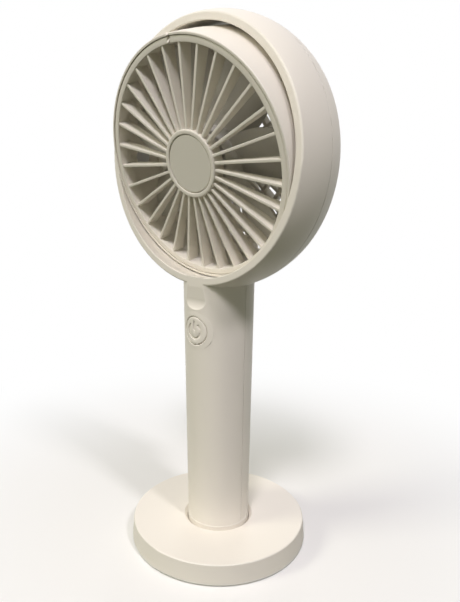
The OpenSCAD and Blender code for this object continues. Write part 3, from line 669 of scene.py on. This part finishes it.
def bevel(width, segments):
    bpy.ops.mesh.bevel(offset=width, segments=segments, affect="EDGES")


def modify(piece, kind, **values):
    """Adds a modifier and applies it."""
    take(piece)
    modifier = piece.modifiers.new(kind.lower(), kind)
    for name, value in values.items():
        setattr(modifier, name, value)
    bpy.ops.object.modifier_apply(modifier=modifier.name)


def soften(piece, width, segments=2, angle=40):
    """Rounds all edges that turn by more than an angle."""
    modify(piece, "BEVEL", width=width, segments=segments, limit_method="ANGLE",
           angle_limit=math.radians(angle), use_clamp_overlap=True)


def cut_away(piece, cutter):
    """Takes the cutter's shape out of the piece."""
    modify(piece, "BOOLEAN", operation="DIFFERENCE", solver="EXACT", object=cutter)
    take(cutter)
    bpy.ops.object.delete()


def block(low, high):
    """A box from corner to corner, as the start of a piece."""
    clear_pick()
    low, high = Vector(low), Vector(high)
    bpy.ops.mesh.primitive_cube_add(size=1, location=(low + high) / 2)
    piece = bpy.context.object
    piece.scale = high - low
    bpy.ops.object.transform_apply(location=True, rotation=True, scale=True)
    return piece


def turned(outline, steps=turn_steps):
    """A ring or disc turned round Z from an outline of radius and height."""
    clear_pick()
    bpy.ops.mesh.primitive_circle_add(vertices=len(outline), radius=1)
    piece = bpy.context.object
    for vertex, (radius, height) in zip(piece.data.vertices, outline):
        vertex.co = (radius, 0, height)
    open_piece(piece)
    bpy.ops.mesh.select_all(action="SELECT")
    bpy.ops.mesh.spin(steps=steps, angle=2 * math.pi, center=(0, 0, 0), axis=(0, 0, 1))
    bpy.ops.mesh.select_all(action="SELECT")
    bpy.ops.mesh.remove_doubles(threshold=merge_distance)
    bpy.ops.mesh.delete_loose()
    bpy.ops.mesh.select_all(action="SELECT")
    bpy.ops.mesh.normals_make_consistent(inside=False)
    clear_pick()
    return piece


def copies(piece, places):
    """The piece with a copy of it, on a mesh of its own, at each further place."""
    made = [piece]
    for place in places[1:]:
        take(piece)
        bpy.ops.object.duplicate()
        copy = bpy.context.object
        copy.data.transform(place)
        made.append(copy)
    piece.data.transform(places[0])
    return made


def turns(count, start):
    """Even turns round Z."""
    return [Matrix.Rotation(start + step * 2 * math.pi / count, 4, "Z") for step in range(count)]


def around(angles, radius, height):
    """Places on a circle round Z, at angles in degrees."""
    return [Matrix.Rotation(math.radians(angle), 4, "Z") @ Matrix.Translation((radius, 0, height))
            for angle in angles]


def join(*pieces):
    take(*pieces)
    bpy.ops.object.join()
    return pieces[0]


def settle(piece, name, body, slot, stands_for=None, place=None):
    """Brings a finished piece to metres and to its place, and gives it its finish and its body."""
    clear_pick()
    piece.data.transform((place or Matrix()) @ Matrix.Scale(MM, 4))
    piece.name = name
    piece.data.name = name
    take(piece)
    bpy.ops.object.shade_smooth_by_angle(angle=smooth_angle)
    give_finish(piece, finishes[slot])
    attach(piece, body)
    if stands_for:
        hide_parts(stands_for)


# Power button
def lay_on_handle(piece, grow):
    """Curves a flat piece, with its front at y = 0, onto the handle at the button's height."""
    for vertex in piece.data.vertices:
        x, back, z = vertex.co
        z += button_z
        radius = cone_low_radius + cone_slope * (z - cone_low_z) + grow
        front = -math.sqrt(radius * radius - x * x)
        if back < cap_depth:
            y = front + (flange_front - front) * back / cap_depth
        else:
            y = flange_front + back - cap_depth
        vertex.co = (x, y, z)


def in_sign(face):
    """Whether a face of the cap's front lies in the bar or the open ring of the sign."""
    middle = face.calc_center_median()
    if face.normal.y > -facing:
        return False
    in_bar = abs(middle.x) < sign_line / 2 and bar_low < middle.z < bar_high
    in_ring = abs(math.hypot(middle.x, middle.z) - sign_radius) < sign_line / 2
    return in_bar or (in_ring and abs(math.atan2(middle.x, middle.z)) > sign_gap)


def cap_reach(vertex):
    return math.hypot(vertex.co.x, vertex.co.z)


def make_power_button():
    """Round cap with the power sign sunk into its curved face, on a flange and a stem."""
    clear_pick()
    bpy.ops.mesh.primitive_cylinder_add(vertices=button_steps, radius=button_radius, depth=cap_depth,
                                        location=(0, cap_depth / 2, 0), rotation=(math.pi / 2, 0, 0))
    cap = bpy.context.object
    bpy.ops.object.transform_apply(location=True, rotation=True, scale=True)
    open_piece(cap)
    faces_towards(cap, (0, -1, 0))
    bpy.ops.mesh.inset(thickness=button_radius - sign_radius - sign_line / 2)
    bpy.ops.mesh.inset(thickness=sign_line)
    bar_sides = (((-sign_line / 2, 0, 0), (1, 0, 0)), ((sign_line / 2, 0, 0), (1, 0, 0)),
                 ((0, 0, bar_low), (0, 0, 1)), ((0, 0, bar_high), (0, 0, 1)))
    for place, way in bar_sides:
        faces_towards(cap, (0, -1, 0))
        bpy.ops.mesh.bisect(plane_co=place, plane_no=way)
    pick(cap, "FACE", in_sign)
    extrude((0, sign_sink, 0))
    pick(cap, "EDGE", lambda edge: edge.calc_face_angle(0) > sharp and all(
        abs(v.co.y) < same_place and cap_reach(v) < button_radius - sign_margin for v in edge.verts))
    bevel(sign_edge, 2)
    pick(cap, "EDGE", lambda edge: all(
        abs(v.co.y) < same_place and cap_reach(v) > button_radius - 2 * same_place for v in edge.verts))
    bevel(button_edge, 4)
    faces_towards(cap, (0, 1, 0), cap_depth)
    extrude((0, 0, 0))
    wider = flange_radius / button_radius
    bpy.ops.transform.resize(value=(wider, 1, wider), center_override=(0, cap_depth, 0))
    extrude((0, flange_thick, 0))
    bpy.ops.mesh.inset(thickness=flange_radius - stem_radius)
    extrude((0, stem_length, 0))
    for step in range(-cap_cuts, cap_cuts + 1):
        bpy.ops.mesh.select_all(action="SELECT")
        bpy.ops.mesh.bisect(plane_co=(step * button_radius / (cap_cuts + 1), 0, 0), plane_no=(1, 0, 0))
    clear_pick()
    lay_on_handle(cap, button_proud)
    settle(cap, "power_button_cap", "button", "cream_plastic", "power_button")


def make_button_bezel():
    """Low ring moulded round the button's hole, well rounded into it and running out flat to the handle."""
    bezel = turned([(bezel_inner, bezel_back), (bezel_inner, bezel_proud), (bezel_inner + bezel_flat, bezel_proud),
                    (bezel_outer, bezel_outer_front), (bezel_outer, bezel_outer_back)], button_steps)
    open_piece(bezel)
    ring_edges(bezel, bezel_inner, bezel_proud)
    bevel(bezel_round, 5)
    clear_pick()
    bezel.data.transform(Matrix.Rotation(math.pi / 2, 4, "X"))
    lay_on_handle(bezel, 0)
    settle(bezel, "button_bezel", "handle", "cream_plastic")


# Grilles, on the pod axis
def grille_rim():
    """Band of a grille with a fine groove round its front edge."""
    rim = turned([(rim_inner, rim_back), (rim_sleeve, rim_back), (rim_sleeve, rim_step), (rim_seat, rim_step),
                  (rim_seat, groove_floor), (rim_outer, groove_floor), (rim_outer, rim_front),
                  (rim_inner, rim_front)], rim_steps)
    soften(rim, rim_round, 3)
    return rim


def grille_fin(inner, outer, front, back):
    """One fin, straight along X, with rounded front and back edges; front and back are given at both ends."""
    fin = block((inner, -fin_thick / 2, -1), (outer, fin_thick / 2, 1))
    middle = (inner + outer) / 2
    for vertex in fin.data.vertices:
        end = 0 if vertex.co.x < middle else 1
        vertex.co.z = front[end] if vertex.co.z > 0 else back[end]
    open_piece(fin)
    for row, width, segments in ((front, fin_round, 4), (back, fin_back_round, 2)):
        pick(fin, "EDGE", lambda edge: abs(edge.verts[0].co.x - edge.verts[1].co.x) > 1 and all(
            abs(v.co.z - row[0 if v.co.x < middle else 1]) < same_place for v in edge.verts))
        bevel(width, segments)
    clear_pick()
    return fin


def make_front_grille():
    """Thirty fins between a grooved rim and a hub ring that holds the badge."""
    rim = grille_rim()
    notch = block((notch_inner, -notch_width / 2, notch_floor), (notch_outer, notch_width / 2, notch_front))
    notch.data.transform(notch_turn)
    cut_away(rim, notch)
    hub = turned([(0, cup_floor), (cup_radius, cup_floor), (cup_radius, hub_back), (hub_radius, hub_back),
                  (hub_radius, hub_front), (hub_recess, hub_front), (hub_recess, recess_floor),
                  (0, recess_floor)])
    open_piece(hub)
    ring_edges(hub, hub_radius, hub_front)
    bevel(hub_round, 5)
    ring_edges(hub, hub_recess, hub_front)
    bevel(recess_round, 3)
    fins = copies(grille_fin(fin_inner, fin_outer, fin_front, fin_back), turns(fin_count, fin_turn))
    settle(join(rim, hub, *fins), "grille_front", "pod", "cream_plastic", "front_grille", pod_place)


def make_rim_marks():
    """Two small slopes in the notch of the rim, rising inwards."""
    marks = []
    half_width = notch_width / 2 - mark_room
    for inner, outer, front in mark_spans:
        mark = block((inner, -half_width, notch_floor - mark_root), (outer, half_width, front))
        open_piece(mark)
        pick(mark, "EDGE", lambda edge: all(
            v.co.x > outer - same_place and v.co.z > front - same_place for v in edge.verts))
        bpy.ops.transform.translate(value=(0, 0, -mark_slope * (outer - inner)))
        clear_pick()
        soften(mark, mark_round, 2, mark_angle)
        marks.append(mark)
    mark = join(*marks)
    mark.data.transform(notch_turn)
    settle(mark, "rim_marks", "pod", "cream_plastic", place=pod_place)


def make_rear_grille():
    """Fins and rings behind the impeller, with the hub that carries the motor."""
    towards_back = Matrix.Rotation(math.pi, 4, "X")
    rim = grille_rim()
    rim.data.transform(towards_back)
    hub = turned([(0, rear_hub_back), (rear_hub_radius, rear_hub_back), (rear_hub_radius, rear_cup_top),
                  (rear_cup_inner, rear_cup_top), (rear_cup_inner, rear_hub_floor), (tube_outer, rear_hub_floor),
                  (tube_outer, tube_top), (tube_inner, tube_top), (tube_inner, rear_hub_floor),
                  (0, rear_hub_floor)])
    open_piece(hub)
    ring_edges(hub, rear_hub_radius, rear_hub_back)
    bevel(hub_round, 5)
    rings = []
    for radius, top in rear_rings:
        ring = turned([(radius - rear_ring_width, rear_fin_back), (radius, rear_fin_back), (radius, top),
                       (radius - rear_ring_width, top)])
        soften(ring, ring_round, 3)
        rings.append(ring)
    fin = grille_fin(rear_fin_inner, fin_outer, [-rear_fin_back] * 2, rear_fin_depths)
    fin.data.transform(towards_back)
    fins = copies(fin, turns(fin_count, 0))
    settle(join(rim, hub, *rings, *fins), "grille_rear", "pod", "cream_plastic", "rear_grille", pod_place)


# Base, screws, feet and charging port
def make_base_plate():
    """The bottom plate of the parts, with its edge brought out square and paler in colour than the shell."""
    clear_pick()
    plate = bpy.data.objects.new("base_plate_edge", nodes["base_plate"].data.copy())
    bpy.context.scene.collection.objects.link(plate)
    plate.data.transform(Matrix.Scale(1 / MM, 4))
    open_piece(plate)
    bpy.ops.mesh.select_all(action="SELECT")
    bpy.ops.mesh.remove_doubles(threshold=merge_distance)
    clear_pick()
    for vertex in plate.data.vertices:
        radius = math.hypot(vertex.co.x, vertex.co.y)
        sunk = plate_low + plate_round - vertex.co.z
        if radius > plate_radius - plate_round - plate_reach and sunk > 0:
            vertex.co.xy *= (plate_radius - plate_lean * sunk) / radius
    settle(plate, "base_plate_edge", "base", "cream_plastic", "base_plate")
    give_finish(plate, pale_plate)


def cross_screw(head_radius, head_height, shank_radius, shank_length, edge):
    """A screw along Z with its head above z = 0 and a cross recess in it."""
    screw = turned([(0, -shank_length), (shank_radius - tip_taper, -shank_length),
                    (shank_radius, tip_length - shank_length), (shank_radius, 0), (head_radius, 0),
                    (head_radius, head_height), (0, head_height)], screw_steps)
    open_piece(screw)
    ring_edges(screw, head_radius, head_height)
    bevel(edge, 4)
    reach = head_radius * cross_reach
    for turn in (0, math.pi / 2):
        bar = block((-reach, -cross_half, head_height * cross_floor), (reach, cross_half, head_height + 1))
        bar.data.transform(Matrix.Rotation(turn, 4, "Z"))
        cut_away(screw, bar)
    return screw


def make_screws():
    towards_rear = Matrix.Rotation(-math.pi / 2, 4, "X")
    places = [Matrix.Translation((0, shell_screw_seat, z)) @ towards_rear for z in shell_screw_heights]
    screws = copies(cross_screw(*shell_screw), places)
    settle(join(*screws), "handle_screws", "handle", "steel", "shell_screws")
    head_down = Matrix.Rotation(math.pi, 4, "X")
    places = [place @ head_down for place in around(base_screw_turns, base_screw_circle, base_screw_seat)]
    screws = copies(cross_screw(*base_screw), places)
    settle(join(*screws), "underside_screws", "base", "steel", "base_screws")


def make_feet():
    """Rubber pads with a rounded edge and a ring pressed into the sole."""
    feet = copies(turned(foot_outline, foot_steps), around(foot_turns, foot_circle, 0))
    settle(join(*feet), "rubber_feet", "base", "black_rubber", "base_feet")


def make_charging_port():
    """Folded metal shell with a rounded mouth, and a tongue with its contacts."""
    half_width, half_height, half_thick = port_width / 2, port_height / 2, tongue_thick / 2
    port_lift = Matrix.Translation((0, 0, button_z))
    shell = block((-half_width, port_back, -half_height), (half_width, port_mouth, half_height))
    open_piece(shell)
    pick(shell, "EDGE", lambda edge: abs(edge.verts[0].co.y - edge.verts[1].co.y) > 1)
    bevel(half_height - same_place, 10)
    faces_towards(shell, (0, 1, 0), port_mouth)
    bpy.ops.mesh.inset(thickness=port_wall)
    extrude((0, port_floor - port_mouth, 0))
    pick(shell, "EDGE", lambda edge: edge.calc_face_angle(0) > sharp
         and all(v.co.y > port_mouth - same_place for v in edge.verts))
    bevel(mouth_round, 3)
    clear_pick()
    shell.data.transform(port_lift)
    settle(shell, "port_shell", "handle", "nickel", "charging_port")
    tongue_front = port_mouth - tongue_recess
    tongue = block((-tongue_width / 2, port_back + tongue_root, -half_thick),
                   (tongue_width / 2, tongue_front, half_thick))
    soften(tongue, tongue_round, 3)
    tongue.data.transform(port_lift)
    settle(tongue, "port_tongue", "handle", "black_plastic")
    contact = block((-contact_half, tongue_front - contact_span[0], -half_thick - contact_proud),
                    (contact_half, tongue_front - contact_span[1], half_thick + contact_proud))
    soften(contact, contact_round, 2)
    places = [Matrix.Translation(((step - (contact_count - 1) / 2) * contact_pitch, 0, button_z))
              for step in range(contact_count)]
    settle(join(*copies(contact, places)), "port_contacts", "handle", "nickel")


make_camera()
for lamp_name, lamp_values in softboxes.items():
    make_lamp(lamp_name, *lamp_values)
make_world()
make_floor()
make_power_button()
make_button_bezel()
make_front_grille()
make_rim_marks()
make_rear_grille()
make_base_plate()
make_screws()
make_feet()
make_charging_port()
bpy.context.scene.view_settings.view_transform = "Standard"
